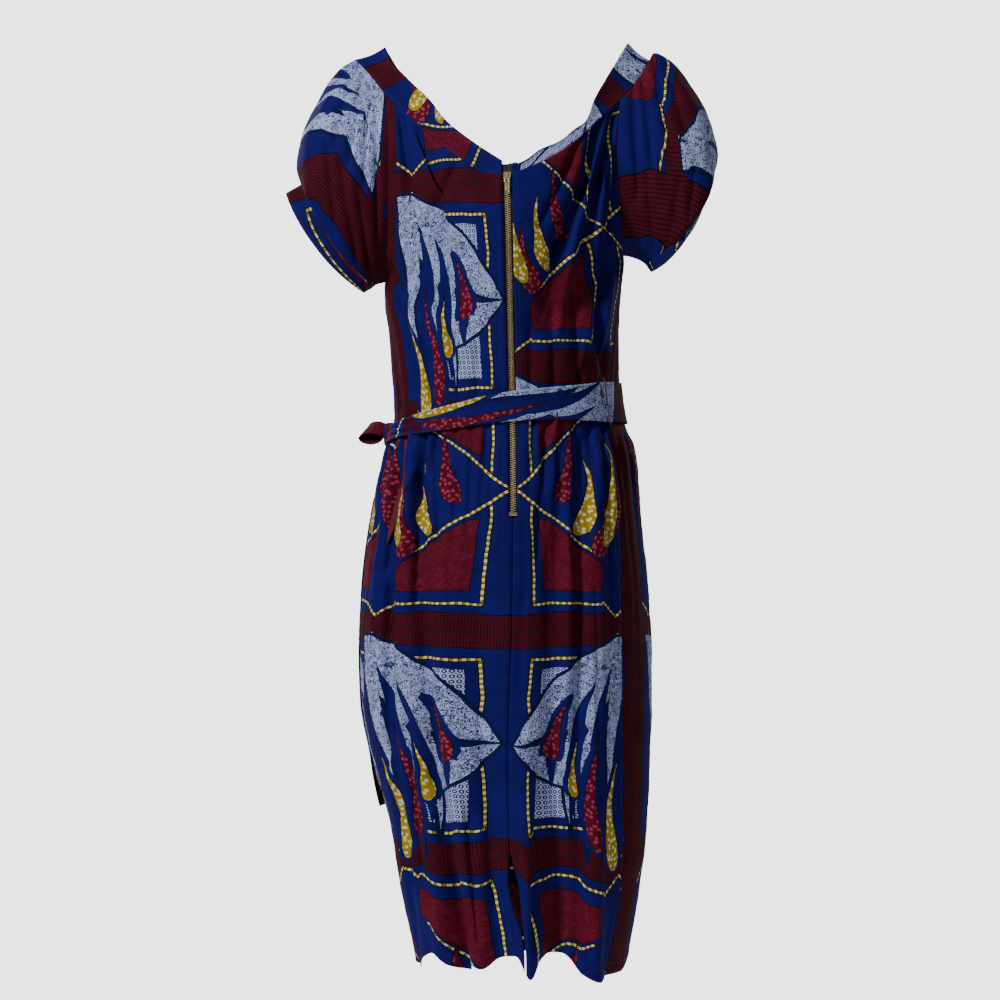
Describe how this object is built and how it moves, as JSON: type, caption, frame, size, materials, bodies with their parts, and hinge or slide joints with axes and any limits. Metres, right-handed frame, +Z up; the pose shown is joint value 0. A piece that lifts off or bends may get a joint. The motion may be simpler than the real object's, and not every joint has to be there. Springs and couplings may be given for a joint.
{
  "type": "dress",
  "caption": "Fitted V-neck midi dress in printed cotton with puff sleeves, a full front zip, a tied waist sash, side pockets and a front slit, in the hollow form it has when worn.",
  "frame": {"origin": "midway between the tops of the two shoulders, inside the neck opening", "axes": "+Z up along the dress, -Y towards the front of the dress, +X towards the right of someone who faces the dress"},
  "size_m": [0.5506, 0.2498, 1.1899],
  "materials": {
    "wax_print_blue": "matte printed cotton",
    "wax_print_crimson": "matte printed cotton",
    "pocket_cloth": "matte printed cotton",
    "carrier_thread": "matte thread",
    "zip_tape": "matte woven tape",
    "zip_brass": "satin metal"
  },
  "bodies": {
    "dress": {"bodice_front_left": "wax_print_blue", "bodice_front_right": "wax_print_blue", "bodice_back": "wax_print_blue", "neckband_left": "wax_print_crimson", "neckband_right": "wax_print_crimson", "neckband_back": "wax_print_crimson", "sleeve_left": "wax_print_blue", "cuff_left": "wax_print_blue", "sleeve_right": "wax_print_blue", "cuff_right": "wax_print_blue", "skirt_front_left": "wax_print_blue", "skirt_front_right": "wax_print_blue", "skirt_back": "wax_print_blue", "pocket_left": "pocket_cloth", "pocket_right": "pocket_cloth", "sash_band": "wax_print_blue", "sash_knot": "wax_print_blue", "sash_loop": "wax_print_blue", "sash_tail_long": "wax_print_blue", "sash_tail_short": "wax_print_blue", "belt_carrier": "carrier_thread", "zip_tape_left": "zip_tape", "zip_tape_right": "zip_tape", "zip_chain": "zip_brass", "zip_stop": "zip_brass", "zip_slider": "zip_brass"},
    "pull_tab": {"zip_pull": "zip_brass"}
  },
  "joints": [
    {"name": "pull_tab_swing", "type": "hinge", "parent": "dress", "child": "pull_tab", "pos_m": [0.00107, -0.11921, -0.18208], "axis": [-1, 0, 0], "range_deg": [0, 160]}
  ]
}
